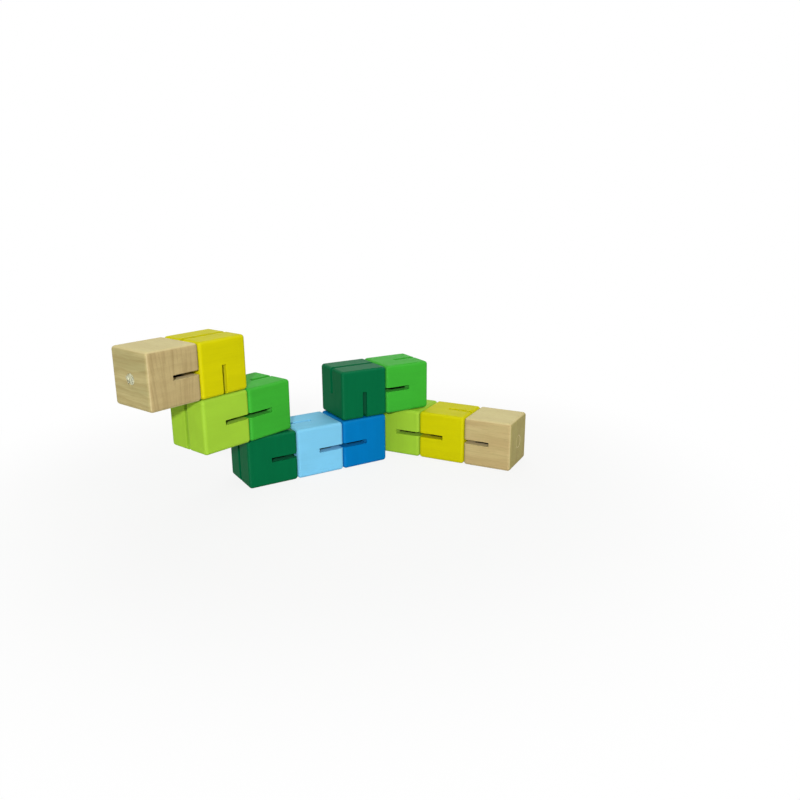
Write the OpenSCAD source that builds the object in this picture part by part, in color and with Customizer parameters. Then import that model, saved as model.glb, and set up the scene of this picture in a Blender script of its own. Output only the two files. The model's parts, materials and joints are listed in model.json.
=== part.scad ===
// Folding chain of twelve wooden cubes on one elastic cord, in the pose in which it stands on a table.
// The row of cubes 5, 6 and 7 lies along X. Cube 1 is at the left end and cube 12 at the right end.

/* [Cubes] */
// Edge length of one cube
cube_edge = 25; // [20:0.5:40]
// Radius of the rounded edges
edge_round = 1.6; // [1.5:0.1:3]
// Gap between the faces of neighbouring cubes
face_gap = 0.2; // [0.1:0.05:0.5]

/* [Saw kerfs] */
// Width of a kerf
kerf_w = 2.2; // [1.8:0.1:3.5]
// Chamfer along the edges of a kerf
kerf_ease = 0.3; // [0.2:0.05:0.6]

/* [Elastic] */
// Diameter of the elastic cord
elastic_d = 1.5; // [1:0.1:1.6]
// Clearance round the cord, and between two lengths of it
elastic_clear = 0.1; // [0.05:0.05:0.2]

/* [Knots and plug] */
// Diameter of the hole that takes the left knot
left_hole_d = 5; // [4.6:0.1:7]
// Depth of the hole that takes the left knot
left_hole_depth = 5; // [4.5:0.1:7]
// Diameter of the hole behind the plug
right_hole_d = 6; // [5:0.1:8]
// Clearance of the plug in its hole
plug_clear = 0.02; // [0.01:0.01:0.1]
// Thickness of the plug
plug_t = 3; // [2:0.1:3.5]
// Diameter of the bore that leads the cord from a knot to the kerf
cord_bore_d = 2.4; // [2:0.1:3]
// Diameter of a knot
knot_d = 4.2; // [3.6:0.1:4.4]
// Number of wraps in a knot
knot_wraps = 3; // [2:1:3]

/* [Resting pose] */
// Turn of cubes 1 and 2 about the upright, in degrees
yaw_top = 20; // [18:0.5:25]
// Turn of cubes 3 and 4
yaw_left = 18.5; // [12:0.5:20]
// Turn of cubes 8 and 9
yaw_right = -1.5; // [-3:0.5:0]
// Turn of cubes 10, 11 and 12
yaw_end = -59; // [-62:0.5:-50]
// How far the cord has slipped along the kerf of cube 4
slip_4 = 4.5; // [4.4:0.1:6]
// How far the cord has slipped along the kerf of cube 7
slip_7 = 0.5; // [0.3:0.1:1.5]
// How far the cord has slipped along the kerf of cube 9
slip_9 = 7.6; // [7.5:0.1:9]

/* [Hidden] */
$fn = 48;
CUBES = ["cube_01_natural", "cube_02_yellow", "cube_03_lime", "cube_04_green", "cube_05_dark_green",
         "cube_06_light_blue", "cube_07_blue", "cube_08_dark_green", "cube_09_green", "cube_10_lime",
         "cube_11_yellow", "cube_12_natural"];
LENGTHS = ["elastic_01", "elastic_02", "elastic_03", "elastic_04", "elastic_05", "elastic_06",
           "elastic_07", "elastic_08", "elastic_09", "elastic_10", "elastic_11", "elastic_12"];
SWINGS = ["elastic_swing_03", "elastic_swing_04", "elastic_swing_06", "elastic_swing_07",
          "elastic_swing_10", "elastic_swing_11"];
TURNS = ["elastic_turn_04", "elastic_turn_06", "elastic_turn_11"];
ENDS = ["knot_left", "knot_right", "plug_right"];

natural = [0.80, 0.66, 0.44];
yellow = [0.82, 0.80, 0.06];
lime = [0.62, 0.80, 0.22];
green = [0.25, 0.68, 0.22];
dark_green = [0.02, 0.42, 0.26];
light_blue = [0.48, 0.78, 0.92];
blue = [0.00, 0.45, 0.75];
white = [0.93, 0.93, 0.91];
PAINT = [natural, yellow, lime, green, dark_green, light_blue, blue, dark_green, green, lime, yellow, natural];

half = cube_edge / 2;
pitch = cube_edge + face_gap;
elastic_r = elastic_d / 2;
// A kerf runs this far past the centre of its cube, so that its two kerfs meet in a window for the cord
kerf_past = elastic_r + elastic_clear;
// The cord of one cube ends here, at the gap to the next
cord_end = pitch / 2 - elastic_clear;
// Where a length starts that turns or swings apart from the bend at the centre
cord_start = elastic_r + elastic_clear;
// The wraps of a tight knot are pressed into each other by this share of the cord
wrap_press = 0.15;
wrap_step = (1 - wrap_press) * elastic_d;
knot_len = elastic_d + (knot_wraps - 1) * wrap_step;
// Spare length in the hole of a knot, of which one clearance lies under the knot
knot_play = 3 * elastic_clear;
left_seat = half - left_hole_depth;
left_tail = left_hole_depth - knot_len - knot_play;
right_seat = half - plug_t - knot_len - knot_play;
// Cutters run past the face they cut by this much
spill = 1;

// Place of each cube's centre, along the chain from cube 6 both ways
function along(yaw) = [cos(yaw), sin(yaw), 0];
up_one = [0, 0, pitch];
c6 = [0, 0, half];
c5 = c6 - pitch * along(0);
c4 = c5 + up_one - slip_4 * along(yaw_left);
c3 = c4 - pitch * along(yaw_left);
c2 = c3 + up_one;
c1 = c2 - pitch * along(yaw_top);
c7 = c6 + pitch * along(0);
c8 = c7 + up_one + slip_7 * along(0);
c9 = c8 + pitch * along(yaw_right);
c10 = c9 - up_one + slip_9 * along(yaw_right);
c11 = c10 + pitch * along(yaw_end);
c12 = c11 + pitch * along(yaw_end);
CENTRES = [c1, c2, c3, c4, c5, c6, c7, c8, c9, c10, c11, c12];
YAWS = [yaw_top, yaw_top, yaw_left, yaw_left, 0, 0, 0, yaw_right, yaw_right, yaw_end, yaw_end, yaw_end];

// The origin is the middle of the whole chain's box, at the table
function reach(yaw) = (half - edge_round) * (abs(cos(yaw)) + abs(sin(yaw))) + edge_round;
function middle(axis) =
    (min([for (i = [0:len(CENTRES) - 1]) CENTRES[i][axis] - reach(YAWS[i])])
     + max([for (i = [0:len(CENTRES) - 1]) CENTRES[i][axis] + reach(YAWS[i])])) / 2;
base = [middle(0), middle(1), 0];

// The side a kerf is sawn in from, as the turn that brings +X to that side
right = [0, 0, 0];
left = [0, 0, 180];
up = [0, -90, 0];
down = [0, 90, 0];
// The roll of the saw blade about that side's axis: flat takes in the Y axis, upright stands across it
flat = [0, 0, 0];
upright = [90, 0, 0];
KERFS = [
    [[right, flat]],
    [[up, upright], [down, flat]],
    [[left, upright], [right, flat]],
    [[left, flat], [right, upright]],
    [[left, upright], [right, flat]],
    [[left, upright], [right, flat]],
    [[left, flat], [right, upright]],
    [[down, flat], [up, upright]],
    [[left, flat], [right, upright]],
    [[left, upright], [right, flat]],
    [[left, flat], [right, upright]],
    [[left, flat]],
];

// The ends of the cord's fixed legs in each cube, as [x, z] from its centre
side = pitch / 2;
LEGS = [
    [[-left_seat, 0], [side, 0]],
    [[-side, 0], [0, -side]],
    [[0, side]],
    [[slip_4, -side]],
    [[0, side], [side, 0]],
    [[-side, 0]],
    [[slip_7, side]],
    [[0, -side], [side, 0]],
    [[-side, 0], [slip_9, -side]],
    [[0, side]],
    [[side, 0]],
    [[-side, 0], [right_seat, 0]],
];
// Cubes whose bend at the centre turns with a neighbour, and cubes whose cord swings in a kerf to one side
TURNING = [4, 6, 11];
SWINGING = [[3, right], [4, left], [6, right], [7, left], [10, right], [11, left]];

function bend_is_apart(i) = len([for (t = TURNING) if (t == i) t]) > 0;

module at_cube(i) {
    translate(CENTRES[i - 1] - base)
        rotate([0, 0, YAWS[i - 1]])
            children();
}

// A square with round corners, in the plane
module rounded_square(size, r) {
    inner = size - 2 * r;
    square([size, inner], center = true);
    square([inner, size], center = true);
    for (x = [-1, 1], y = [-1, 1])
        translate([x * inner / 2, y * inner / 2])
            circle(r = r);
}

// A bar with four round edges along Z, turned to lie along another axis
module rounded_bar(turn) {
    rotate(turn)
        translate([0, 0, -half])
            linear_extrude(cube_edge)
                rounded_square(cube_edge, edge_round);
}

// A cube with twelve round edges, whose corners are blunted by a ball
module blank() {
    intersection() {
        rounded_bar([0, 0, 0]);
        rounded_bar([90, 0, 0]);
        rounded_bar([0, 90, 0]);
        sphere(r = sqrt(3) * (half - edge_round) + edge_round);
    }
}

// A saw kerf from the +X side, with the edges of its three mouths eased
module kerf() {
    long = half + spill;
    deep = half + kerf_past;
    eased = (kerf_w / 2 + kerf_ease) * sqrt(2);
    translate([-kerf_past, -long, -kerf_w / 2])
        cube([long + kerf_past, 2 * long, kerf_w]);
    translate([half, 0, 0])
        rotate([0, 45, 0])
            cube([eased, 2 * long, eased], center = true);
    for (y = [-half, half])
        translate([deep / 2 - kerf_past, y, 0])
            rotate([45, 0, 0])
                cube([deep, eased, eased], center = true);
}

module kerfs(i) {
    for (k = KERFS[i - 1])
        rotate(k[0])
            rotate(k[1])
                kerf();
}

// The hole for a knot, from the +X side down to its seat, and the bore that leads the cord on to the kerf
module knot_hole(d, seat) {
    rotate([0, 90, 0]) {
        translate([0, 0, seat])
            cylinder(d = d, h = half - seat + spill);
        cylinder(d = cord_bore_d, h = half);
    }
}

module puzzle_cube(i) {
    color(PAINT[i - 1])
        at_cube(i)
            difference() {
                blank();
                kerfs(i);
                if (i == 1)
                    rotate(left)
                        knot_hole(left_hole_d, left_seat);
                if (i == 12)
                    knot_hole(right_hole_d, right_seat);
            }
}

// A leg of cord from near the centre to its end in the XZ plane. A leaning leg is cut level with the side.
module leg(end, start) {
    leans = end[0] != 0 && end[1] != 0;
    intersection() {
        rotate([0, atan2(end[0], end[1]), 0])
            translate([0, 0, start])
                cylinder(r = elastic_r, h = norm(end) - start + (leans ? spill : -elastic_clear));
        cube(2 * cord_end, center = true);
    }
}

module elastic(i) {
    apart = bend_is_apart(i);
    color(white)
        at_cube(i) {
            if (!apart)
                sphere(r = elastic_r);
            for (end = LEGS[i - 1])
                leg(end, apart ? cord_start : 0);
        }
}

// The half of the cord at a folding link that swings in its cube's kerf
module elastic_swing(s) {
    color(white)
        at_cube(s[0])
            rotate(s[1])
                leg([side, 0], cord_start);
}

// The bend at the centre of a cube, where its neighbour's twist turns the cord
module elastic_turn(i) {
    color(white)
        at_cube(i)
            sphere(r = elastic_r);
}

// A stopper knot along Z, with its wraps side by side
module knot() {
    ring_r = knot_d / 2 - elastic_r;
    rotate_extrude() {
        square([ring_r, knot_len]);
        for (n = [0:knot_wraps - 1])
            translate([ring_r, elastic_r + n * wrap_step])
                circle(r = elastic_r);
    }
}

module knot_left() {
    color(white)
        at_cube(1)
            rotate([0, -90, 0])
                translate([0, 0, left_seat + elastic_clear]) {
                    knot();
                    cylinder(r = elastic_r, h = knot_len + left_tail);
                }
}

module knot_right() {
    color(white)
        at_cube(12)
            rotate([0, 90, 0])
                translate([0, 0, right_seat + elastic_clear])
                    knot();
}

module plug_right() {
    color(natural)
        at_cube(12)
            translate([half - plug_t, 0, 0])
                rotate([0, 90, 0])
                    cylinder(d = right_hole_d - 2 * plug_clear, h = plug_t);
}

for (i = [1:len(CUBES)])
    puzzle_cube(i);
for (i = [1:len(LENGTHS)])
    elastic(i);
for (n = [0:len(SWINGS) - 1])
    elastic_swing(SWINGING[n]);
for (n = [0:len(TURNS) - 1])
    elastic_turn(TURNING[n]);
knot_left();
knot_right();
plug_right();
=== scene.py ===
# %% [markdown]
# A folding chain of twelve wooden cubes on one elastic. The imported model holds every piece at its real
# size and knows how the pieces turn, so it comes in first and stays fixed. All that follows is finish:
# rounded and painted wood, a braided elastic, its knots, a plug, a floor, lamps and a camera. Blender
# counts in metres, and this toy is easier to think of in millimetres, so its sizes are numbers times MM.
# The room round it, with the floor and the lamps, stays in metres.

# %% Load the fixed frame
import json
import math
import random

import bmesh
import bpy
from mathutils import Euler, Matrix, Quaternion, Vector


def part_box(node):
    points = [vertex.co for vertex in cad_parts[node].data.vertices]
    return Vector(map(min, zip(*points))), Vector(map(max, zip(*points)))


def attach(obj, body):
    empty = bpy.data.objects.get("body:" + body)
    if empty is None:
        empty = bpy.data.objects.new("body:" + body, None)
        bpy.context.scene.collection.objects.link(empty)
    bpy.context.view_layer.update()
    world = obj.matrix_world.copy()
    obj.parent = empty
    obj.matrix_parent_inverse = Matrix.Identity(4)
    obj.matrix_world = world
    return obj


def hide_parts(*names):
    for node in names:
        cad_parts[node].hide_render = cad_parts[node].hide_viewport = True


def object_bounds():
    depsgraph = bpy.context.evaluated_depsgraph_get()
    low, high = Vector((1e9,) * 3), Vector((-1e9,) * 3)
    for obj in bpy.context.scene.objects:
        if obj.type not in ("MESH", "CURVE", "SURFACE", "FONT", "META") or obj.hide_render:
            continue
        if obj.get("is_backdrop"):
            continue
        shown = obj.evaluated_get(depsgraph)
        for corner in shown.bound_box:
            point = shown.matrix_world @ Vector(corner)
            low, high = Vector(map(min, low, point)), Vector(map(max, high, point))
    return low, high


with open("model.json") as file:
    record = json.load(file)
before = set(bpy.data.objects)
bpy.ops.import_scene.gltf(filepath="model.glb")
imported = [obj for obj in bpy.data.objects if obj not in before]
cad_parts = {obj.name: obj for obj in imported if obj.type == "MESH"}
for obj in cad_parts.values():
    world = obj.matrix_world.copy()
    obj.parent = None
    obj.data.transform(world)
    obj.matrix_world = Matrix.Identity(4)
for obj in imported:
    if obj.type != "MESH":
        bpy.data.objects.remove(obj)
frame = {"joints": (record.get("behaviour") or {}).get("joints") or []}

cad_low, cad_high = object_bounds()
MM = 0.001
scene = bpy.context.scene
print("frame box in mm:", [round(v / MM, 1) for v in (*cad_low, *cad_high)])

# %% [markdown]
# The camera comes before the looks, because it decides how large a detail appears. Its angle, distance
# and lens were worked out from the corners of the cubes. A camera less than 40 cm away sees the near
# cubes larger than the far ones, and a long lens from further back would lose that. The picture is 800
# pixels across, which turns a focal length in pixels into one in millimetres.

# %% Camera
VIEW_AZIMUTH = math.radians(-32.29)
VIEW_ELEVATION = math.radians(15.61)
VIEW_ROLL = math.radians(-0.23)
VIEW_DISTANCE = 371.6 * MM
VIEW_AIM = Vector((35.88, 0.30, 34.56)) * MM
NEAREST_SEEN, FURTHEST_SEEN = 10 * MM, 20
FOCAL_PIXELS = 737.3
IMAGE_PIXELS = 800
SENSOR_MM = 36


def direction(azimuth, elevation):
    """The way from the object to something at this angle round it, from the front, and up."""
    return Vector((math.sin(azimuth) * math.cos(elevation), -math.cos(azimuth) * math.cos(elevation),
                   math.sin(elevation)))


def look_from(thing, away, distance):
    thing.location = VIEW_AIM + distance * away
    thing.rotation_mode = "QUATERNION"
    thing.rotation_quaternion = (-away).to_track_quat("-Z", "Y")
    scene.collection.objects.link(thing)


camera_data = bpy.data.cameras.new("camera")
camera_data.sensor_width = SENSOR_MM
camera_data.lens = SENSOR_MM * FOCAL_PIXELS / IMAGE_PIXELS
camera_data.clip_start = NEAREST_SEEN
camera_data.clip_end = FURTHEST_SEEN
camera = bpy.data.objects.new("camera", camera_data)
look_from(camera, direction(VIEW_AZIMUTH, VIEW_ELEVATION), VIEW_DISTANCE)
camera.rotation_quaternion = camera.rotation_quaternion @ Quaternion((0, 0, 1), VIEW_ROLL)
scene.camera = camera
scene.view_settings.view_transform = "Standard"
print("lens in mm:", round(camera_data.lens, 1))

# %% [markdown]
# Each cube has its own place and its own turn about the upright. Both are read from the frame: the
# middle of a cube's box is its centre, and the axis that two cubes twist about runs along their row.
# A shape is then built once, at the origin and square to the axes, and a matrix stands it in its place.

# %% Where each cube stands
EDGE = 25 * MM
HALF = EDGE / 2
GAP = 0.2 * MM
MID_GAP = (EDGE + GAP) / 2  # from a cube's centre to the middle of the gap beside it
CUBES = ["cube_01_natural", "cube_02_yellow", "cube_03_lime", "cube_04_green", "cube_05_dark_green",
         "cube_06_light_blue", "cube_07_blue", "cube_08_dark_green", "cube_09_green", "cube_10_lime",
         "cube_11_yellow", "cube_12_natural"]
# The twists whose axis runs along a row, and the cubes of that row.
ROW_AXES = {"twist_01_02": (1, 2), "twist_03_04": (3, 4), "twist_05_06": (5, 6, 7),
            "twist_08_09": (8, 9), "twist_10_11": (10, 11, 12)}

places = {}
for joint in frame["joints"]:
    for number in ROW_AXES.get(joint["name"], ()):
        low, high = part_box(CUBES[number - 1])
        yaw = math.atan2(joint["axis"][1], joint["axis"][0])
        places[number] = Matrix.Translation((low + high) / 2) @ Matrix.Rotation(yaw, 4, "Z")
for number, place in sorted(places.items()):
    print("cube", number, "at", [round(v / MM, 1) for v in place.translation],
          "turned", round(math.degrees(place.to_euler().z), 1))

# %% [markdown]
# The real cube is planed square, rounded on its edges, sawn, drilled and sanded, and the mesh is made
# in the same order. A bevel of all twelve edges gives the round edges and the ball-shaped corners. A
# subdivided cage could do that too, but it would pull the flat faces out of true.

# %% Blanks
CORNER_ROUND = 1.6 * MM
ROUND_STEPS = 8
ARC_PROFILE = 0.5  # the bevel's profile that is part of a circle


def object_from(bm, name):
    mesh = bpy.data.meshes.new(name)
    bm.to_mesh(mesh)
    bm.free()
    made = bpy.data.objects.new(name, mesh)
    scene.collection.objects.link(made)
    return made


def rounded_blank(name):
    bm = bmesh.new()
    bmesh.ops.create_cube(bm, size=EDGE)
    bmesh.ops.bevel(bm, geom=bm.edges[:], offset=CORNER_ROUND, offset_type="OFFSET",
                    segments=ROUND_STEPS, profile=ARC_PROFILE, affect="EDGES", clamp_overlap=True)
    return object_from(bm, name)


blanks = {number: rounded_blank("wood_" + CUBES[number - 1]) for number in sorted(places)}
print("faces of a blank:", len(blanks[1].data.polygons))

# %% [markdown]
# A kerf is what the saw blade leaves: a slot as wide as the blade, from one face to just past the
# centre. Two kerfs at right angles meet in a small window there, and the elastic runs through it. The
# table says from which side each blade comes in and how it is rolled. A boolean with a blade-shaped
# block is true to the saw, also where the slot crosses a round edge.

# %% Saw blades
BLADE = 2.2 * MM
PAST = 0.85 * MM  # how far a kerf runs past the centre
SPILL = 1 * MM  # how far a tool stands out of the wood
RIGHT, LEFT, UP, DOWN = (0, 0, 0), (0, 0, 180), (0, -90, 0), (0, 90, 0)
FLAT, UPRIGHT = (0, 0, 0), (90, 0, 0)
KERFS = {1: [(RIGHT, FLAT)],
         2: [(UP, UPRIGHT), (DOWN, FLAT)],
         3: [(LEFT, UPRIGHT), (RIGHT, FLAT)],
         4: [(LEFT, FLAT), (RIGHT, UPRIGHT)],
         5: [(LEFT, UPRIGHT), (RIGHT, FLAT)],
         6: [(LEFT, UPRIGHT), (RIGHT, FLAT)],
         7: [(LEFT, FLAT), (RIGHT, UPRIGHT)],
         8: [(DOWN, FLAT), (UP, UPRIGHT)],
         9: [(LEFT, FLAT), (RIGHT, UPRIGHT)],
         10: [(LEFT, UPRIGHT), (RIGHT, FLAT)],
         11: [(LEFT, FLAT), (RIGHT, UPRIGHT)],
         12: [(LEFT, FLAT)]}


def turn(degrees):
    return Euler([math.radians(a) for a in degrees]).to_matrix().to_4x4()


def saw_blade(side, roll):
    reach = HALF + SPILL
    bm = bmesh.new()
    stand = turn(side) @ turn(roll) @ Matrix.Translation(((reach - PAST) / 2, 0, 0))
    bmesh.ops.create_cube(bm, size=1, matrix=stand @ Matrix.Diagonal((reach + PAST, 2 * reach, BLADE, 1)))
    return object_from(bm, "blade")


tools = {number: [saw_blade(side, roll) for side, roll in cuts] for number, cuts in KERFS.items()}
print("kerfs:", sum(len(blades) for blades in tools.values()))

# %% [markdown]
# The two end cubes are drilled as well: a wide hole that takes the knot, and a thin bore that leads the
# elastic on to the kerf. The left hole stays open, and a slice of dowel closes the right one, with a
# little play between it and the knot. The seat is the bottom of a hole, measured from the cube's centre.

# %% Drills
KNOT_LENGTH = 4.05 * MM
KNOT_PLAY = 0.3 * MM
PLUG_THICK = 3 * MM
LEFT_HOLE_RADIUS, LEFT_HOLE_DEPTH = 2.5 * MM, 5 * MM
RIGHT_HOLE_RADIUS = 3 * MM
BORE_RADIUS = 1.2 * MM
HOLE_SIDES, BORE_SIDES = 72, 32
LEFT_SEAT = HALF - LEFT_HOLE_DEPTH
RIGHT_SEAT = HALF - PLUG_THICK - KNOT_LENGTH - KNOT_PLAY


def round_bar(name, start, end, radius, side, sides=HOLE_SIDES):
    """A round bar along the way to one side, from start to end."""
    bm = bmesh.new()
    lie = Matrix.Translation(((start + end) / 2, 0, 0)) @ Matrix.Rotation(math.pi / 2, 4, "Y")
    bmesh.ops.create_cone(bm, cap_ends=True, segments=sides, radius1=radius, radius2=radius,
                          depth=end - start, matrix=turn(side) @ lie)
    return object_from(bm, name)


def drills(radius, seat, side):
    return [round_bar("drill", seat, HALF + SPILL, radius, side),
            round_bar("drill", 0, HALF, BORE_RADIUS, side, BORE_SIDES)]


tools[1] += drills(LEFT_HOLE_RADIUS, LEFT_SEAT, LEFT)
tools[12] += drills(RIGHT_HOLE_RADIUS, RIGHT_SEAT, RIGHT)
print("knot holes in mm: left", round((HALF - LEFT_SEAT) / MM, 2), "deep, right",
      round((HALF - RIGHT_SEAT) / MM, 2), "deep")

# %% [markdown]
# Sawing leaves sharp edges, and sandpaper takes them off. A second, much smaller bevel does that. Its
# angle limit leaves the first rounding alone, because there each face turns only a little from the
# next. Weighted normals then keep the flat faces flat while the rounded ones shade smoothly.

# %% Saw, drill and sand
SANDED = 0.18 * MM
SAND_STEPS = 3
SHARP = math.radians(50)
LARGE_FACES_LEAD = 100  # from 1 to 100, how much the large faces decide the shading


def apply_modifiers(made):
    bpy.context.view_layer.update()
    graph = bpy.context.evaluated_depsgraph_get()
    mesh = bpy.data.meshes.new_from_object(made.evaluated_get(graph), depsgraph=graph)
    made.modifiers.clear()
    made.data = mesh


def sand(made):
    ease = made.modifiers.new("sand", "BEVEL")
    ease.width = SANDED
    ease.segments = SAND_STEPS
    ease.limit_method = "ANGLE"
    ease.angle_limit = SHARP
    ease.use_clamp_overlap = False


def shade_smooth(made):
    made.data.polygons.foreach_set("use_smooth", [True] * len(made.data.polygons))


def shade_true(made):
    shade_smooth(made)
    weigh = made.modifiers.new("flat faces", "WEIGHTED_NORMAL")
    weigh.weight = LARGE_FACES_LEAD
    weigh.keep_sharp = False


for number, cube in blanks.items():
    for tool in tools[number]:
        saw = cube.modifiers.new("saw", "BOOLEAN")
        saw.object = tool
        saw.operation = "DIFFERENCE"
        saw.solver = "EXACT"
    sand(cube)
    apply_modifiers(cube)
    shade_true(cube)
    for tool in tools[number]:
        bpy.data.objects.remove(tool)
    cube.matrix_world = places[number]
    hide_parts(CUBES[number - 1])
    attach(cube, "cube_%02d" % number)
    print(cube.name, "faces:", len(cube.data.polygons))

# %% [markdown]
# The finishes are made of nodes that read the object's own coordinates. They need no unwrapping, they
# run through the wood as real grain does, so that a side and an end of one cube belong together, and
# they follow a cube when it turns. These helpers keep the node building short.

# %% Node helpers
def linear(red, green, blue):
    """A colour given in 0 to 255, as the shader wants it: with the curve that screens use undone."""
    def channel(v):
        v /= 255
        return v / 12.92 if v <= 0.04045 else ((v + 0.055) / 1.055) ** 2.4
    return (channel(red), channel(green), channel(blue), 1)


def new_material(name):
    material = bpy.data.materials.new(name)
    material.use_nodes = True
    tree = material.node_tree
    return material, tree, tree.nodes["Principled BSDF"]


def feed(tree, socket, value):
    """Links a socket to another one, or sets it to a number, a colour or a vector."""
    if isinstance(value, bpy.types.NodeSocket):
        tree.links.new(value, socket)
    else:
        socket.default_value = value


def own_place(tree):
    """The place of a point in its object's own coordinates, in metres."""
    return tree.nodes.new("ShaderNodeTexCoord").outputs["Object"]


def split_xyz(tree, vector):
    node = tree.nodes.new("ShaderNodeSeparateXYZ")
    feed(tree, node.inputs[0], vector)
    return node.outputs


print("a mid grey of 128 is", round(linear(128, 128, 128)[0], 3), "to the shader")

# %% [markdown]
# Most of a finish is arithmetic on places and masks. A mask is a number from 0 to 1 at each point of the
# surface, and says how much of a layer shows there. It could be painted on an image by hand, but
# arithmetic follows the shape by itself and stays sharp at any distance.

# %% Node arithmetic
def maths(tree, operation, a, b=0.0):
    node = tree.nodes.new("ShaderNodeMath")
    node.operation = operation
    feed(tree, node.inputs[0], a)
    feed(tree, node.inputs[1], b)
    return node.outputs[0]


def vector_maths(tree, operation, a, b=(0, 0, 0)):
    """A step of vector maths: it gives a vector, or a number where that is its result."""
    node = tree.nodes.new("ShaderNodeVectorMath")
    node.operation = operation
    feed(tree, node.inputs[0], a)
    feed(tree, node.inputs[1], b)
    return node.outputs["Value" if operation in ("LENGTH", "DOT_PRODUCT") else "Vector"]


def distance_from(tree, place, across=(1, 1, 1)):
    """How far a place is from the centre, or from the axis on which across has its 0."""
    return vector_maths(tree, "LENGTH", vector_maths(tree, "MULTIPLY", place, across))


def between(tree, value, low, high, at_low=0.0, at_high=1.0, smooth=True):
    """Turns a range of values into another one, and holds it at the ends."""
    node = tree.nodes.new("ShaderNodeMapRange")
    node.interpolation_type = "SMOOTHSTEP" if smooth else "LINEAR"
    ends = {"Value": value, "From Min": low, "From Max": high, "To Min": at_low, "To Max": at_high}
    for name, v in ends.items():
        feed(tree, node.inputs[name], v)
    return node.outputs["Result"]


SHARE, FIRST_COLOUR, SECOND_COLOUR, MIXED_COLOUR = 0, 6, 7, 2  # sockets of a Mix node set to colours


def blend_colours(tree, share, first, second):
    node = tree.nodes.new("ShaderNodeMix")
    node.data_type = "RGBA"
    feed(tree, node.inputs[SHARE], share)
    feed(tree, node.inputs[FIRST_COLOUR], first)
    feed(tree, node.inputs[SECOND_COLOUR], second)
    return node.outputs[MIXED_COLOUR]


def mottle(tree, space, per_unit, detail=3.0):
    """Noise with this many features to a unit of the space, in each direction."""
    node = tree.nodes.new("ShaderNodeTexNoise")
    feed(tree, node.inputs["Vector"], vector_maths(tree, "MULTIPLY", space, per_unit))
    node.inputs["Scale"].default_value = 1
    node.inputs["Detail"].default_value = detail
    return node.outputs["Fac"]


def raised(tree, shader, height, depth, strength):
    node = tree.nodes.new("ShaderNodeBump")
    feed(tree, node.inputs["Height"], height)
    node.inputs["Distance"].default_value = depth
    node.inputs["Strength"].default_value = strength
    tree.links.new(node.outputs["Normal"], shader.inputs["Normal"])


print("materials so far:", len(bpy.data.materials))

# %% [markdown]
# Wood has three directions: along the grain, across it from the heart outwards, and round the rings.
# This space gives a place in the cube in those three, in mm. The heart of the tree lies some 100 mm
# outside the cube, so that the rings cross it in slightly curved layers, and every cube is cut from
# another place. Flat noise painted on each face would show no end grain, and would break at the edges.

# %% Wood space
AXES = {"X": Vector((1, 0, 0)), "Y": Vector((0, 1, 0)), "Z": Vector((0, 0, 1))}
# The axis along the grain of each cube, and the axis that points away from the heart.
GRAINS = {1: ("Y", "Z"), 2: ("X", "Z"), 3: ("X", "Y"), 4: ("X", "Z"), 5: ("Z", "X"), 6: ("X", "Y"),
          7: ("Z", "Y"), 8: ("Z", "X"), 9: ("X", "Y"), 10: ("Z", "Y"), 11: ("X", "Z"), 12: ("X", "Z")}
# In mm, how far the heart of the tree is from a cube, and how far apart the cubes were in the tree.
NEAREST_HEART, HEART_STEP = 90, 10
SIDEWAYS_STEP, LENGTHWAYS_STEP = 5, 31
TURNED_AWAY, SQUARE_ON = 0.5, 0.95


def wood_space(tree, grain, seed):
    """The cube's own place in metres, and round the rings, across them and along the grain in mm."""
    along, across = AXES[grain[0]], AXES[grain[1]]
    coordinates = own_place(tree)
    mapping = tree.nodes.new("ShaderNodeMapping")
    feed(tree, mapping.inputs["Vector"], coordinates)
    mapping.inputs["Scale"].default_value = (1 / MM, 1 / MM, 1 / MM)
    mapping.inputs["Rotation"].default_value = Matrix((across.cross(along), across, along)).to_euler()
    heart = NEAREST_HEART + HEART_STEP * (seed * 5 % 4)
    sideways = SIDEWAYS_STEP * (seed * 7 % 5 - 2)
    mapping.inputs["Location"].default_value = (sideways, heart, LENGTHWAYS_STEP * seed)
    beside, out, along_grain = split_xyz(tree, mapping.outputs[0])
    join = tree.nodes.new("ShaderNodeCombineXYZ")
    feed(tree, join.inputs[0], maths(tree, "MULTIPLY", maths(tree, "ARCTAN2", beside, out), heart))
    feed(tree, join.inputs[1], distance_from(tree, mapping.outputs[0], (1, 1, 0)))
    feed(tree, join.inputs[2], along_grain)
    return coordinates, join.outputs[0]


def facing(tree, axis):
    """1 where the surface lies square to an axis, and 0 where it runs along it."""
    normal = tree.nodes.new("ShaderNodeTexCoord").outputs["Normal"]
    turned = maths(tree, "ABSOLUTE", vector_maths(tree, "DOT_PRODUCT", normal, AXES[axis]))
    return between(tree, turned, TURNED_AWAY, SQUARE_ON)


print("ways that the grain runs:", len(set(GRAINS.values())))

# %% [markdown]
# Beech shows its yearly rings, the rays that cross them, its pores and its fibres, each at its own size.
# The rings are the distance from the heart, and two slow noises make them wander. The rest are noises
# in the wood space, stretched along one of its directions: a fibre is long and thin, and a ray is a
# thin sheet that stands across the rings. A single noise would look like marble. After a noise come its
# detail and the two levels between which its mask goes from 0 to 1.

# %% Rings, rays, pores and fibres
RING_SPACING_MM = 4.6
RING_DRIFT_MM, RING_WAVE_MM = 7, 3.5
DARKENS, ENDS = (0.25, 0.9), (0.92, 1.0)  # the parts of a year in which the ring does so
# How many features of a kind there are per mm: round the rings, across them, and along the grain.
DRIFT, WAVE = (0.045, 0.085, 0.03), (0.09, 0.05, 0.11)
RAY, RAY_BAND = (1.3, 0.06, 0.4), (0.32, 0.03, 0.2)
PORE, FIBRE, STREAK = (3.4, 3.4, 0.35), (2.4, 2.4, 0.08), (0.5, 0.9, 0.045)


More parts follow.
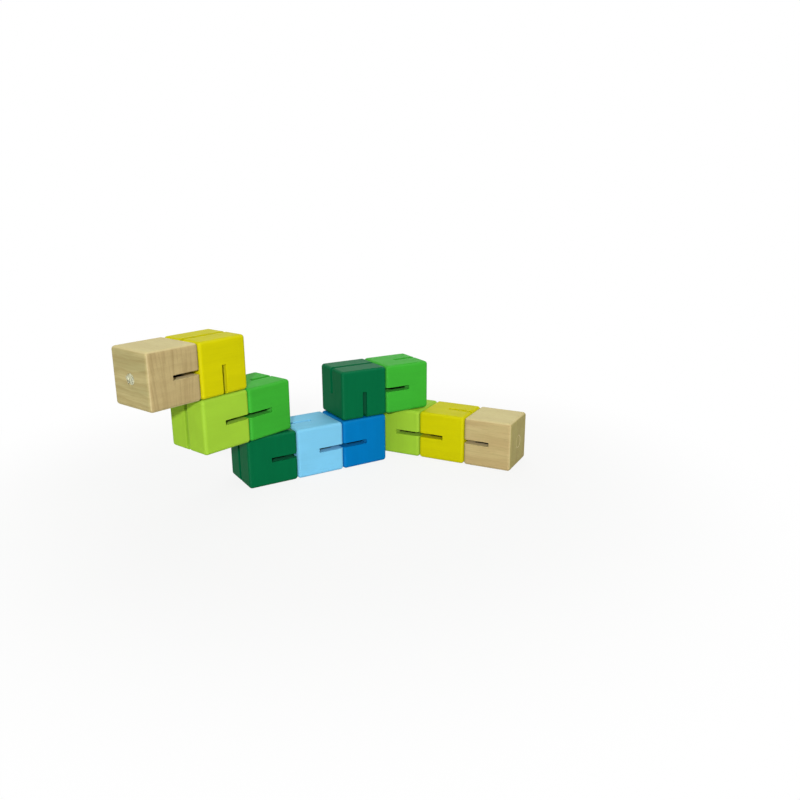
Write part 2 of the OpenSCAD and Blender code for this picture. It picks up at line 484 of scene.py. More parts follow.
def growth_rings(tree, space):
    """0 in the pale early wood, and rising to 1 at the dark line that ends each year."""
    drift = maths(tree, "MULTIPLY", mottle(tree, space, DRIFT, 2), RING_DRIFT_MM)
    wave = maths(tree, "MULTIPLY", mottle(tree, space, WAVE, 2), RING_WAVE_MM)
    from_heart = split_xyz(tree, space)[1]
    radius = maths(tree, "ADD", maths(tree, "ADD", from_heart, drift), wave)
    year = maths(tree, "FRACT", maths(tree, "DIVIDE", radius, RING_SPACING_MM))
    return maths(tree, "MULTIPLY", between(tree, year, *DARKENS), between(tree, year, *ENDS, 1, 0))


def rays(tree, space):
    """The thin sheets that run from the heart outwards, which show as fine lines on the end."""
    return between(tree, mottle(tree, space, RAY, 4), 0.42, 0.70)


def ray_bands(tree, space):
    """Where many rays lie close together, the end of the wood has a broader dark streak."""
    return between(tree, mottle(tree, space, RAY_BAND, 2), 0.48, 0.66)


def pores(tree, space):
    return between(tree, mottle(tree, space, PORE, 1), 0.58, 0.74)


def fibres(tree, space):
    return mottle(tree, space, FIBRE, 4)


def streaks(tree, space):
    """Bundles of darker fibres about a millimetre wide, which fade in and out along the grain."""
    return between(tree, mottle(tree, space, STREAK, 3), 0.48, 0.70)


print("years in a cube:", round(EDGE / MM / RING_SPACING_MM, 1))
print("a fibre in mm:", round(1 / FIBRE[0], 1), "wide and", round(1 / FIBRE[2], 1), "long")

# %% [markdown]
# Hands rub the edges and corners first, and paint lies thin there; the paler edge that this gives is
# partly a painted highlight on the rounded edges as well. Of the three distances from the centre, the
# middle one is large only near an edge, so it makes a mask for the wear and highlight. The largest one
# is small only inside a kerf or a hole. The lip of a kerf is painted paler: partly the rough sawn wood
# with paint and dust, partly painted light on the kerf floor. Further in, the wood is painted near
# black, as painted shade where little light reaches.

# %% Where the finish changes
LIP_DEPTH = 1.6 * MM
# Depths in a kerf where the painted shade begins, and below which it is full.
SHADE_BEGINS, SHADE_FULL_BELOW = 3.9 * MM, 5.1 * MM
GLUE_WIDTH = 0.6 * MM


def distances(tree, coordinates):
    """The middle and the largest of a point's three distances from the planes through the centre."""
    x, y, z = [maths(tree, "ABSOLUTE", part) for part in split_xyz(tree, coordinates)]
    small, large = maths(tree, "MINIMUM", x, y), maths(tree, "MAXIMUM", x, y)
    middle = maths(tree, "MAXIMUM", small, maths(tree, "MINIMUM", large, z))
    return middle, maths(tree, "MAXIMUM", large, z)


# Mask for the paler edges: sanding wear and thin paint, and a painted highlight on the rounded edges.
def edge_wear_and_highlight(tree, coordinates, width):
    """1 on the outer third of a strip of this width beside each edge, and 0 further in."""
    return between(tree, distances(tree, coordinates)[0], HALF - width, HALF - 0.3 * width)


def glued_rim(tree, coordinates, radius):
    """1 on a thin ring round the plugged hole in the right face."""
    from_axis = distance_from(tree, coordinates, (0, 1, 1))
    on_face = maths(tree, "GREATER_THAN", split_xyz(tree, coordinates)[0], HALF - LIP_DEPTH)
    return maths(tree, "MULTIPLY", between(tree, from_axis, radius, radius + GLUE_WIDTH, 1, 0), on_face)


# 1 on the lip of a kerf, which is painted paler: sawn wood and dust, and painted light on the kerf floor.
def inside_kerf(tree, coordinates):
    return between(tree, distances(tree, coordinates)[1], HALF - LIP_DEPTH, HALF - LIP_DEPTH / 2, 1, 0)


# 1 deep in a kerf, where the wood gets the near-black painted shade.
def deep_in_kerf(tree, coordinates):
    return between(tree, distances(tree, coordinates)[1], HALF - SHADE_FULL_BELOW, HALF - SHADE_BEGINS, 1, 0)


# The depth printed here is where the painted shade in a kerf begins.
print("paint reaches", round(SHADE_BEGINS / MM, 1), "mm into a kerf")

# %% [markdown]
# The two end cubes are bare beech, sanded fine and rubbed with a little oil. Beech is a quiet wood, so
# what is its own shows faintly: the broad tone, the yearly rings, the fibres, the tones of the sides,
# the rays and the small pores go on in this order, and the edges and kerfs come last. The rays show
# only on the end of the wood, and the end is darker. The other tones of the sides are painted light and
# shade: the side that looks at the bark, the top and bottom of both end cubes, is painted paler as
# painted light, and on the left cube the side cut along the rays is a shade greener as painted shade.
# The end of the right cube, and its plug, are painted darker and greener still, as painted shade. Masks
# from the surface's own direction tell the sides apart. The pale edges are partly sanding wear and
# partly a painted highlight, the kerf lip is partly sawn wood and partly painted light, and deep in a
# kerf is painted shade. Bare wood is nearly matt.

# %% Bare beech
BEECH = (192, 168, 120)
BEECH_DEEP = (160, 140, 90)
BEECH_PALE = (207, 190, 137)
BEECH_END = (184, 163, 117)
# Painted shade: a darker, greener end for the right cube, beyond what end grain has.
BEECH_SHADED_END = (163, 157, 92)
# Painted shade: the greener tone of the left cube's side cut along the rays, its left face.
BEECH_GREEN_SHADE = (178, 167, 117)
# Painted light: the paler tone of the side that looks at the bark, which is the top of the end cubes.
BEECH_LIT_BARK_SIDE = (222, 211, 158)
BEECH_RAY = (148, 124, 82)
# Pale edge colour: sanding wear and glue, and a painted highlight on the rounded edges.
BEECH_PALE_EDGE_AND_HIGHLIGHT = (224, 208, 163)
# Kerf lip: sawn wood, and painted light on the kerf floor.
BEECH_SAWN_AND_LIT = (214, 196, 164)
# Near black: painted shade deep in a kerf, where little light reaches.
KERF_SHADE = (18, 14, 11)
BEECH_CLOUD = (0.11, 0.16, 0.03)
BEECH_WEAR_AND_HIGHLIGHT_WIDTH = 0.9 * MM


def layer(tree, share, strength, under, colour):
    """Lays a colour over what is there, as far as a mask and a strength from 0 to 1 let it."""
    return blend_colours(tree, maths(tree, "MULTIPLY", share, strength), under, linear(*colour))


def bare_beech(name, grain, seed, ring_strength, end_tone=BEECH_END, ray_side_shade_tone=BEECH, rim=0):
    material, tree, shader = new_material(name)
    coordinates, space = wood_space(tree, grain, seed)
    fine = fibres(tree, space)
    end = facing(tree, grain[0])
    ray_side = facing(tree, next(axis for axis in AXES if axis not in grain))
    cloud = between(tree, mottle(tree, space, BEECH_CLOUD, 2), 0.35, 0.65)
    # Painted shade on the side cut along the rays, where a cube is given a tone for it.
    tone = layer(tree, ray_side, 1, linear(*BEECH), ray_side_shade_tone)
    tone = layer(tree, cloud, 0.6, tone, BEECH_PALE)
    tone = layer(tree, growth_rings(tree, space), ring_strength, tone, BEECH_DEEP)
    tone = layer(tree, between(tree, fine, 0.45, 0.75), 0.35, tone, BEECH_DEEP)
    tone = layer(tree, streaks(tree, space), 0.9 * ring_strength, tone, BEECH_DEEP)
    # The end tone: darker end grain, and on the right cube also painted shade.
    tone = layer(tree, end, 0.7, tone, end_tone)
    # Painted light: the side that looks at the bark, the top, is made paler.
    tone = layer(tree, facing(tree, grain[1]), 0.6, tone, BEECH_LIT_BARK_SIDE)
    tone = layer(tree, maths(tree, "MULTIPLY", ray_bands(tree, space), end), 0.28, tone, BEECH_RAY)
    tone = layer(tree, maths(tree, "MULTIPLY", rays(tree, space), end), 0.34, tone, BEECH_RAY)
    tone = layer(tree, pores(tree, space), 0.2, tone, BEECH_RAY)
    # Paler edges: sanding wear, and a painted highlight on the rounded edges.
    tone = layer(tree, edge_wear_and_highlight(tree, coordinates, BEECH_WEAR_AND_HIGHLIGHT_WIDTH), 0.55, tone, BEECH_PALE_EDGE_AND_HIGHLIGHT)
    if rim:
        tone = layer(tree, glued_rim(tree, coordinates, rim), 0.7, tone, BEECH_PALE_EDGE_AND_HIGHLIGHT)
    # Paler kerf lip: sawn wood, and painted light on the kerf floor.
    tone = layer(tree, inside_kerf(tree, coordinates), 0.6, tone, BEECH_SAWN_AND_LIT)
    # Painted shade deep in a kerf.
    tone = layer(tree, deep_in_kerf(tree, coordinates), 1, tone, KERF_SHADE)
    feed(tree, shader.inputs["Base Color"], tone)
    rough = between(tree, fine, 0.3, 0.7, at_low=0.5, at_high=0.65, smooth=False)
    feed(tree, shader.inputs["Roughness"], rough)
    shader.inputs["Specular IOR Level"].default_value = 0.05
    raised(tree, shader, fine, depth=0.06 * MM, strength=0.4)
    return material


print("beech in 0 to 255:", BEECH, "and its end:", BEECH_END)

# %% [markdown]
# The coloured cubes are beech too, under an even satin paint. The grain is only just there: the denser
# fibres stand up as fine ridges, and show through the paint as a slightly deeper colour. A second,
# round-grained noise is the slight orange peel of sprayed paint. Paint lies thin on the edges, which
# makes them a shade paler, and this paler edge is partly a painted highlight too. The sawn lip of a kerf
# has dust in its paint and is painted lighter, partly as painted light on the kerf floor, and deeper in
# the kerf is painted shade.

# %% Satin paint on beech
PAINTS = {"yellow": (207, 200, 5), "lime": (160, 203, 57), "green": (60, 172, 51),
          "dark_green": (3, 101, 60), "light_blue": (125, 199, 238), "blue": (0, 117, 188)}
DEEP_PAINT = 0.93
WHITE, THIN_PAINT_AND_HIGHLIGHT = 255, 0.16
# Kerf lip lightened: dust in the paint, and painted light on the kerf floor.
DUST_AND_LIGHT, DUSTY_LIT_PAINT = 235, 0.12
PAINT_PEEL = (1.6, 1.6, 1.6)
PAINT_CLOUD = (0.12, 0.12, 0.04)
PAINT_WEAR_AND_HIGHLIGHT_WIDTH = 1.1 * MM


def satin_paint(name, colour, grain, seed):
    material, tree, shader = new_material(name)
    coordinates, space = wood_space(tree, grain, seed)
    fine = fibres(tree, space)
    peel = mottle(tree, space, PAINT_PEEL, 2)
    cloud = between(tree, mottle(tree, space, PAINT_CLOUD, 2), 0.35, 0.65)
    deep = [DEEP_PAINT * c for c in colour]
    # The paint lightened towards white: thin paint on the edges, and a painted highlight.
    thin = [c + THIN_PAINT_AND_HIGHLIGHT * (WHITE - c) for c in colour]
    sawn_and_lit = [c + DUSTY_LIT_PAINT * (DUST_AND_LIGHT - c) for c in colour]
    tone = layer(tree, cloud, 0.35, linear(*colour), deep)
    tone = layer(tree, growth_rings(tree, space), 0.15, tone, deep)
    tone = layer(tree, between(tree, fine, 0.5, 0.8), 0.45, tone, deep)
    patchy = between(tree, peel, 0.35, 0.7, at_low=0.3)
    # Paler edges: thin paint, and a painted highlight on the rounded edges.
    worn_and_highlit = maths(tree, "MULTIPLY", edge_wear_and_highlight(tree, coordinates, PAINT_WEAR_AND_HIGHLIGHT_WIDTH), patchy)
    tone = layer(tree, worn_and_highlit, 0.4, tone, thin)
    # Paler kerf lip: dust in the paint, and painted light on the kerf floor.
    tone = layer(tree, inside_kerf(tree, coordinates), 0.9, tone, sawn_and_lit)
    # Painted shade deep in a kerf.
    tone = layer(tree, deep_in_kerf(tree, coordinates), 1, tone, KERF_SHADE)
    feed(tree, shader.inputs["Base Color"], tone)
    rough = between(tree, fine, 0.3, 0.7, at_low=0.48, at_high=0.6, smooth=False)
    feed(tree, shader.inputs["Roughness"], rough)
    shader.inputs["Specular IOR Level"].default_value = 0.03
    relief = maths(tree, "ADD", maths(tree, "MULTIPLY", fine, 0.7), maths(tree, "MULTIPLY", peel, 0.3))
    raised(tree, shader, relief, depth=0.05 * MM, strength=0.35)
    return material


print("paints:", ", ".join(PAINTS))

# %% [markdown]
# Every cube gets a finish of its own making. The colour may be shared, but the grain comes from another
# place in the tree and often runs another way, as it does when twelve cubes are cut from a few boards.
# One material on all of them would show the same rings twelve times.

# %% Finish every cube
# The left cube's ray side gets a greener painted shade, and the right cube's end a darker one.
END_CUBES = {1: {"ring_strength": 0.38, "ray_side_shade_tone": BEECH_GREEN_SHADE},
             12: {"ring_strength": 0.15, "end_tone": BEECH_SHADED_END, "rim": RIGHT_HOLE_RADIUS}}
for number, cube in blanks.items():
    colour = CUBES[number - 1][len("cube_00_"):]
    if colour == "natural":
        finish = bare_beech("beech_%02d" % number, GRAINS[number], number, **END_CUBES[number])
    else:
        finish = satin_paint("paint_%02d" % number, PAINTS[colour], GRAINS[number], number)
    cube.data.materials.append(finish)
print("finishes:", len(bpy.data.materials))

# %% [markdown]
# The cord's route is a few points: where it enters a cube, the window in the middle and where it leaves.
# It bends in the window in a small arc, round the edge of the wood, and not in a point. A curve object
# would round its corners too, but the braid needs to know how far along the cord each ring of it lies.

# %% Route of the cord
BEND_RADIUS = 1.5 * MM
RING_STEP = 0.15 * MM
NEARLY_STRAIGHT = 89  # degrees, in half the angle between two legs
CENTRE = Vector((0, 0, 0))


def rounded_route(points):
    """Points a ring's step apart along straight runs, with an arc at every corner."""
    route = [points[0]]
    for before, corner, after in zip(points, points[1:], points[2:]):
        a, b = (before - corner).normalized(), (after - corner).normalized()
        half_angle = a.angle(b) / 2
        if math.degrees(half_angle) > NEARLY_STRAIGHT:
            route.append(corner)
            continue
        centre = corner + (a + b).normalized() * BEND_RADIUS / math.sin(half_angle)
        back = BEND_RADIUS / math.tan(half_angle)
        start, end = corner + back * a - centre, corner + back * b - centre
        count = max(2, round(start.angle(end) * BEND_RADIUS / RING_STEP))
        route += [centre + BEND_RADIUS * start.slerp(end, k / count) for k in range(count + 1)]
    route.append(points[-1])
    fine = [route[0]]
    for p, q in zip(route, route[1:]):
        count = max(1, round((q - p).length / RING_STEP))
        fine += [p.lerp(q, k / count) for k in range(1, count + 1)]
    return fine


def length_along(route):
    return sum((b - a).length for a, b in zip(route, route[1:]))


corner_test = rounded_route([Vector((-MID_GAP, 0, 0)), CENTRE, Vector((0, 0, MID_GAP))])
print("round a right angle in mm:", round(length_along(corner_test) / MM, 2))

# %% [markdown]
# The elastic is a rubber core in a braided cover. Two sets of strands cross on it and leave a net of
# small diamonds, so the tube's radius rises and falls round it and along it. The relief is real mesh,
# because a bump would vanish at the cord's outline.

# %% Braided cord
CORD_RADIUS = 0.75 * MM
CORD_SIDES = 32
BRAID_HEIGHT = 0.06 * MM
BRAID_COUNT = 8
BRAID_LENGTH = 0.9 * MM


def skin(bm, rings):
    """Faces from each ring of points to the next, and one over each end."""
    count = len(rings[0])
    for lower, upper in zip(rings, rings[1:]):
        for k in range(count):
            m = (k + 1) % count
            bm.faces.new((lower[k], lower[m], upper[m], upper[k]))
    bm.faces.new(rings[0][::-1])
    bm.faces.new(rings[-1])


def braided_tube(name, route, radius=CORD_RADIUS):
    bm = bmesh.new()
    ahead = (route[1] - route[0]).normalized()
    side = ahead.orthogonal().normalized()
    travelled = 0
    rings = []
    for i, point in enumerate(route):
        new_ahead = (route[min(i + 1, len(route) - 1)] - route[max(i - 1, 0)]).normalized()
        side = ahead.rotation_difference(new_ahead) @ side
        side = (side - side.project(new_ahead)).normalized()
        ahead = new_ahead
        across = ahead.cross(side)
        if i:
            travelled += (point - route[i - 1]).length
        ring = []
        for k in range(CORD_SIDES):
            angle = 2 * math.pi * k / CORD_SIDES
            net = (math.cos(BRAID_COUNT * angle) + math.cos(2 * math.pi * travelled / BRAID_LENGTH)) / 2
            r = radius - BRAID_HEIGHT * (0.5 - 0.5 * net)
            ring.append(bm.verts.new(point + r * (math.cos(angle) * side + math.sin(angle) * across)))
        rings.append(ring)
    skin(bm, rings)
    bmesh.ops.recalc_face_normals(bm, faces=bm.faces[:])
    made = object_from(bm, name)
    shade_smooth(made)
    return made


print("diamonds of the braid in mm:", round(2 * math.pi * CORD_RADIUS / BRAID_COUNT / MM, 2), "by",
      round(BRAID_LENGTH / MM, 2))

# %% [markdown]
# A new elastic is nearly white, with a soft sheen from its fine yarns. An even white would make it look
# like plastic, so a fine noise shades it. The same finish comes in two pairs of tones, a clean one and a
# duller one for the loose end in its hole: that end takes up dust, and is painted darker as painted
# shade.

# %% Finish of the braid
CLEAN_BRAID = ((244, 244, 240), (218, 218, 212))
# Duller tones for the knot in its hole: dust, and painted shade.
DUSTY_SHADED_BRAID = ((226, 225, 196), (190, 191, 160))
YARNS_PER_METRE = (6 / MM, 6 / MM, 6 / MM)


def braid_finish(name, pale, shaded):
    material, tree, shader = new_material(name)
    yarn = mottle(tree, own_place(tree), YARNS_PER_METRE)
    tone = blend_colours(tree, between(tree, yarn, 0.3, 0.7), linear(*pale), linear(*shaded))
    feed(tree, shader.inputs["Base Color"], tone)
    shader.inputs["Roughness"].default_value = 0.8
    shader.inputs["Specular IOR Level"].default_value = 0.2
    shader.inputs["Sheen Weight"].default_value = 0.2
    raised(tree, shader, yarn, depth=0.03 * MM, strength=0.5)
    return material


braid = braid_finish("braided_elastic", *CLEAN_BRAID)
print("finish of the cord:", braid.name)

# %% [markdown]
# The elastic is one piece in reality. Every cube moves by itself, so each carries its own length of it,
# from the middle of one gap to the middle of the next. Where two cubes fold about a shared edge, each
# has a half that swings in its kerf by half of the fold, so the two stay in line. In the middle of a
# fold the real cord is stretched over that edge. These halves can't stretch, so one of the two is made
# longer and reaches the edge: they join at both ends of the fold, but not quite in its middle. A half is
# a hair thinner than the rest, so that it lies inside where it shares a place with another length.

# %% The cord through the cubes
SLIP_4, SLIP_7, SLIP_9 = 4.5 * MM, 0.5 * MM, 7.6 * MM
# Where the legs of the cord end in each cube, beside its centre and above it.
LEGS = {1: [(-LEFT_SEAT, 0), (MID_GAP, 0)],
        2: [(-MID_GAP, 0), (0, -MID_GAP)],
        3: [(0, MID_GAP)],
        4: [(SLIP_4, -MID_GAP)],
        5: [(0, MID_GAP), (MID_GAP, 0)],
        6: [(-MID_GAP, 0)],
        7: [(SLIP_7, MID_GAP)],
        8: [(0, -MID_GAP), (MID_GAP, 0)],
        9: [(-MID_GAP, 0), (SLIP_9, -MID_GAP)],
        10: [(0, MID_GAP)],
        11: [(MID_GAP, 0)],
        12: [(-MID_GAP, 0), (RIGHT_SEAT, 0)]}
# The side that a swinging half points to, and the body that a turning bend rides on.
SWINGING = {3: RIGHT, 4: LEFT, 6: RIGHT, 7: LEFT, 10: RIGHT, 11: LEFT}
TURNING = {4: "link_03_04", 6: "link_06_07", 11: "link_10_11"}
SWING_THINNER = 0.01 * MM
TRIM = 0.25


def trimmed(route):
    """The route with its ends pulled in by part of a step, so that two lengths don't rub in a gap."""
    return [route[0].lerp(route[1], TRIM), *route[1:-1], route[-1].lerp(route[-2], TRIM)]


def string_up(cord, number, body, *nodes):
    cord.data.materials.append(braid)
    cord.matrix_world = places[number]
    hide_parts(*nodes)
    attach(cord, body)


cord_length = 0
for number, ends in LEGS.items():
    points = [Vector((x, 0, z)) for x, z in ends]
    points.insert(1, CENTRE)
    route = rounded_route(points)
    cord_length += length_along(route)
    cord = braided_tube("cord_%02d" % number, trimmed(route))
    string_up(cord, number, "cube_%02d" % number, "elastic_%02d" % number)
for number, side in SWINGING.items():
    reach = MID_GAP * (1 if number in TURNING else math.sqrt(2))
    route = rounded_route([CENTRE, turn(side) @ Vector((reach, 0, 0))])
    half_cord = braided_tube("cord_swing_%02d" % number, trimmed(route), CORD_RADIUS - SWING_THINNER)
    string_up(half_cord, number, "swing_%02d" % number, "elastic_swing_%02d" % number)
    cord_length += MID_GAP
print("elastic between its knots in mm:", round(cord_length / MM, 1))

# %% [markdown]
# Where the cord of one cube turns with its neighbour, a ball as thick as the cord sits in the bend,
# and the two lengths turn about it as a ball joint does. It hides the meeting of their cut ends, and it
# has their braid, with the net's diamonds drawn together towards its poles.

# %% Bends that turn
BALL_THINNER = 0.02 * MM
BALL_ROWS = 24


def braided_ball(name):
    radius = CORD_RADIUS - BALL_THINNER
    bm = bmesh.new()
    bmesh.ops.create_uvsphere(bm, u_segments=4 * BRAID_COUNT, v_segments=BALL_ROWS, radius=radius)
    for vertex in bm.verts:
        out = vertex.co.normalized()
        travelled = math.asin(max(-1, min(1, out.z))) * radius
        net = (math.cos(BRAID_COUNT * math.atan2(out.y, out.x)) * math.hypot(out.x, out.y)
               + math.cos(2 * math.pi * travelled / BRAID_LENGTH)) / 2
        vertex.co = out * (radius - BRAID_HEIGHT * (0.5 - 0.5 * net))
    return object_from(bm, name)


for number, link in TURNING.items():
    ball = braided_ball("cord_bend_%02d" % number)
    shade_smooth(ball)
    string_up(ball, number, link, "elastic_turn_%02d" % number)
print("bends:", len(TURNING))

# %% [markdown]
# A stopper knot holds the elastic at each end. The cord comes out of its bore, winds three times round
# itself, and leaves through the middle. The wraps press into each other, so the path climbs by less
# than the cord's thickness per turn. Over its last fifth the path turns inwards and up to the middle.
# A formula keeps the wraps evenly spaced, which a path placed point by point would hardly do.

# %% Winding of a knot
KNOT_RADIUS = 2.35 * MM
KNOT_CLEAR = 0.1 * MM  # between the seat and the knot
WRAPS, PART_WRAP = 3, 0.3
WRAP_STEP = 1.275 * MM
WINDING_STEPS = 120
CLIMB_ENDS = 0.93
LAST_PART = 0.2
LAST_LIFT = 0.25 * MM


def knot_route(seat, tail):
    """The way of the cord in a knot: round and up, in to the middle, and straight out as a tail."""
    wrap_radius = KNOT_RADIUS - CORD_RADIUS
    first = seat + KNOT_CLEAR + CORD_RADIUS
    last = first + (WRAPS - 1) * WRAP_STEP
    route = []
    for k in range(WINDING_STEPS + 1):
        t = k / WINDING_STEPS
        angle = 2 * math.pi * (WRAPS + PART_WRAP) * t
        inwards = min(1, (1 - t) / LAST_PART)
        r = wrap_radius * (inwards * inwards * (3 - 2 * inwards))
        lift = LAST_LIFT * max(0, t - (1 - LAST_PART)) / LAST_PART
        height = first + (last - first) * min(1, t / CLIMB_ENDS) + lift
        route.append(Vector((height, r * math.cos(angle), r * math.sin(angle))))
    end = seat + KNOT_CLEAR + KNOT_LENGTH + tail
    while route[-1].x < end - RING_STEP:
        route.append(route[-1] + Vector((RING_STEP, 0, 0)))
    return route


print("cord in a knot in mm:", round(length_along(knot_route(RIGHT_SEAT, 0)) / MM, 1))

# %% [markdown]
# The left knot is in full view in its hole. The cut end of the cord has frayed open there into a white
# tuft: a matted pad just inside the mouth of the hole, loose yarns over it, some wisps that stand out,
# and strays that lie over the rim at both sides. Each yarn is a thin tapered strand of its own, drawn
# by chance from a fixed seed, so that every run gives the same tuft. Hair particles could make it too,
# but they aren't mesh, and the finished toy has to be.

# %% Frayed yarns
YARN_RADIUS = 0.1 * MM
YARN_SIDES = 5
YARNS, WISPS, STRAYS = 240, 70, 50
YARN_TAPER = 0.5
ALONG_YARN = (0, 0.33, 0.66, 1)  # where a yarn's points lie, from its root to its end
# Below, heights are in mm, bends and angles in radians, and the rest are shares of the hole's radius.
YARN_LAYERS, OUTER_DROP, YARN_DIP, YARN_DROOP = 0.12, 0.1, 0.35, 0.12
YARN_ROOT, YARN_BEND = 0.25, 0.7
WISP_LEAST, WISP_MOST, WISP_FADES, WISP_ARCH = 0.1, 0.7, 1.1, 2.2
STRAY_ROOT, STRAY_LEAST, STRAY_MOST = 0.3, 0.9, 1.25
STRAY_BEND, STRAY_SPREAD = 0.4, 0.4
STRAY_HEIGHTS = (-0.1, 0.15, 0.2, 0.1)
PAD_SIDES, PAD_ROWS = 48, 12
PAD_DEEP, PAD_LOW, PAD_DOME, PAD_LUMPS = 1.2 * MM, 0.2 * MM, 0.2 * MM, 0.03 * MM
random.seed(12)


def yarn(bm, points):
    """A thin strand through a few points, which tapers towards its end."""
    rings = []
    for i, point in enumerate(points):
        ahead = (points[min(i + 1, len(points) - 1)] - points[max(i - 1, 0)]).normalized()
        side = ahead.orthogonal().normalized()
        across = ahead.cross(side)
        thin = YARN_RADIUS * (1 - YARN_TAPER * i / len(points))
        corners = [2 * math.pi * k / YARN_SIDES for k in range(YARN_SIDES)]
        offsets = [thin * (math.cos(a) * side + math.sin(a) * across) for a in corners]
        rings.append([bm.verts.new(point + offset) for offset in offsets])
    skin(bm, rings)


def matted_pad(bm, middle, radius):
    """A low lumpy dome across the hole, which the loose yarns lie on."""
    rows = []
    for row in range(1, PAD_ROWS + 1):
        r = radius * row / PAD_ROWS
        ring = []
        for k in range(PAD_SIDES):
            angle = 2 * math.pi * k / PAD_SIDES
            lumps = math.sin(5 * angle + row) + math.sin(11 * angle - 2 * row) + math.sin(3 * row)
            x = middle - PAD_DOME * (row / PAD_ROWS) ** 2 + PAD_LUMPS * lumps
            ring.append(bm.verts.new((x, r * math.cos(angle), r * math.sin(angle))))
        rows.append(ring)
    deep = [bm.verts.new((middle - PAD_DEEP, v.co.y, v.co.z)) for v in rows[-1]]
    skin(bm, rows + [deep])


def frayed_end(bm, top, width):
    """The cut end opens into yarns that fill the mouth of the hole, and some wisps stand out of it."""
    matted_pad(bm, top - PAD_LOW, width)
    for number in range(YARNS + WISPS):
        angle, spread = random.uniform(0, 2 * math.pi), random.random() ** 0.5
        bend = random.uniform(-YARN_BEND, YARN_BEND)
        height = top - OUTER_DROP * MM * spread - random.uniform(0, YARN_LAYERS) * MM
        lift = 0
        if number >= YARNS:
            lift = random.uniform(WISP_LEAST, WISP_MOST) * MM * (WISP_FADES - spread)
        points = []
        for t in ALONG_YARN:
            r = (YARN_ROOT + (1 - YARN_ROOT) * t) * spread * width
            sag = (YARN_DIP * (1 - t) ** 2 + YARN_DROOP * t * t * spread) * MM
            x = height - sag + lift * math.sin(WISP_ARCH * t)
            points.append(Vector((x, r * math.cos(angle + bend * t), r * math.sin(angle + bend * t))))
        yarn(bm, points)


def stray_yarns(bm, width):
    """Yarns that come out over the rim of the hole, mostly to both sides, and lie on the face."""
    for _ in range(STRAYS):
        angle = random.choice((0, math.pi)) + random.gauss(0, STRAY_SPREAD)
        bend, reach = random.uniform(-STRAY_BEND, STRAY_BEND), random.uniform(STRAY_LEAST, STRAY_MOST)
        points = []
        for t, height in zip(ALONG_YARN, STRAY_HEIGHTS):
            r = (STRAY_ROOT + (reach - STRAY_ROOT) * t) * width
            turned = angle + bend * t
            points.append(Vector((HALF + height * MM, r * math.cos(turned), r * math.sin(turned))))
        yarn(bm, points)


print("yarns in the tuft:", YARNS + WISPS + STRAYS)

# %% [markdown]
# A knot is its winding and a core through the middle, which fills it. It is one mesh, because nothing in
# a knot that is pulled tight moves. The left one ends in the tuft, and has the duller finish, for dust
# and painted shade in its hole. The right one lies behind the plug, out of sight, and is wound all the
# same.

# %% Knots
TAIL = 0.65 * MM
CORE_SHORTER = 0.4 * MM
CORE_SIDES = 24


def knot(name, number, side, seat, tail, node):
    made = braided_tube(name, knot_route(seat, tail))
    bm = bmesh.new()
    bm.from_mesh(made.data)
    if tail:
        frayed_end(bm, HALF - YARN_RADIUS, LEFT_HOLE_RADIUS)
        stray_yarns(bm, LEFT_HOLE_RADIUS)
    core = Matrix.Translation((seat + KNOT_LENGTH / 2, 0, 0)) @ Matrix.Rotation(math.pi / 2, 4, "Y")
    bmesh.ops.create_cone(bm, cap_ends=True, segments=CORE_SIDES, radius1=CORD_RADIUS,
                          radius2=CORD_RADIUS, depth=KNOT_LENGTH - CORE_SHORTER, matrix=core)
    bmesh.ops.transform(bm, matrix=turn(side), verts=bm.verts[:])
    bmesh.ops.recalc_face_normals(bm, faces=bm.faces[:])
    bm.to_mesh(made.data)
    bm.free()
    shade_smooth(made)
    string_up(made, number, "cube_%02d" % number, node)
    print(made.name, "faces:", len(made.data.polygons))
    return made


open_knot = knot("knot_in_left_end", 1, LEFT, LEFT_SEAT, TAIL, "knot_left")
# The duller finish: dust, and painted shade for the recess.
open_knot.data.materials[0] = braid_finish("frayed_elastic", *DUSTY_SHADED_BRAID)
knot("knot_in_right_end", 12, RIGHT, RIGHT_SEAT, 0, "knot_right")

# %% [markdown]
# The plug is a slice of beech dowel, glued in flush after the knot is tied. A ring painted on the cube
# would show its place, but not its own wood: it has end grain, as this face of the cube does, and its
# growth rings run another way. A thin pale ring of glue and sanding marks its edge.

# %% Plug
PLUG_CLEAR = 0.02 * MM
PLUG_GRAIN, PLUG_SEED, PLUG_RINGS = ("X", "Y"), 13, 0.3

plug = round_bar("dowel_plug", HALF - PLUG_THICK, HALF, RIGHT_HOLE_RADIUS - PLUG_CLEAR, RIGHT)
sand(plug)
apply_modifiers(plug)
shade_true(plug)
# The plug's end takes the same painted shade as the cube's right face.
plug.data.materials.append(bare_beech("beech_plug", PLUG_GRAIN, PLUG_SEED, PLUG_RINGS, BEECH_SHADED_END))
plug.matrix_world = places[12]
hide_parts("plug_right")
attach(plug, "cube_12")
print("plug faces:", len(plug.data.polygons))

# %% [markdown]
# The ground and the air are white. Light that falls on the object comes from a dimmer world, so that
# the colours stay full, and only what the camera sees by itself, or in a gloss, is pure white. The
# floor keeps the object's shadow, as a faint one, and fades into the white further out. Under its glow
# it is a mid grey, because a white floor would throw so much light back up that the shadows on the
# lower cubes went pale.

# %% White ground
FLOOR_REACH = 2.0
FLOOR_GREY = (0.6, 0.6, 0.6, 1)
SHADOW_WITHIN, ALL_WHITE_FROM = 0.09, 0.22
GLOW_NEAR, GLOW_FAR = 0.86, 1.0


def seen_directly(tree):
    """1 for what the camera sees, by itself, in a gloss or through something, and 0 for other light."""
    path = tree.nodes.new("ShaderNodeLightPath")
    seen = maths(tree, "MAXIMUM", path.outputs["Is Camera Ray"], path.outputs["Is Glossy Ray"])
    return maths(tree, "MAXIMUM", seen, path.outputs["Is Transmission Ray"])


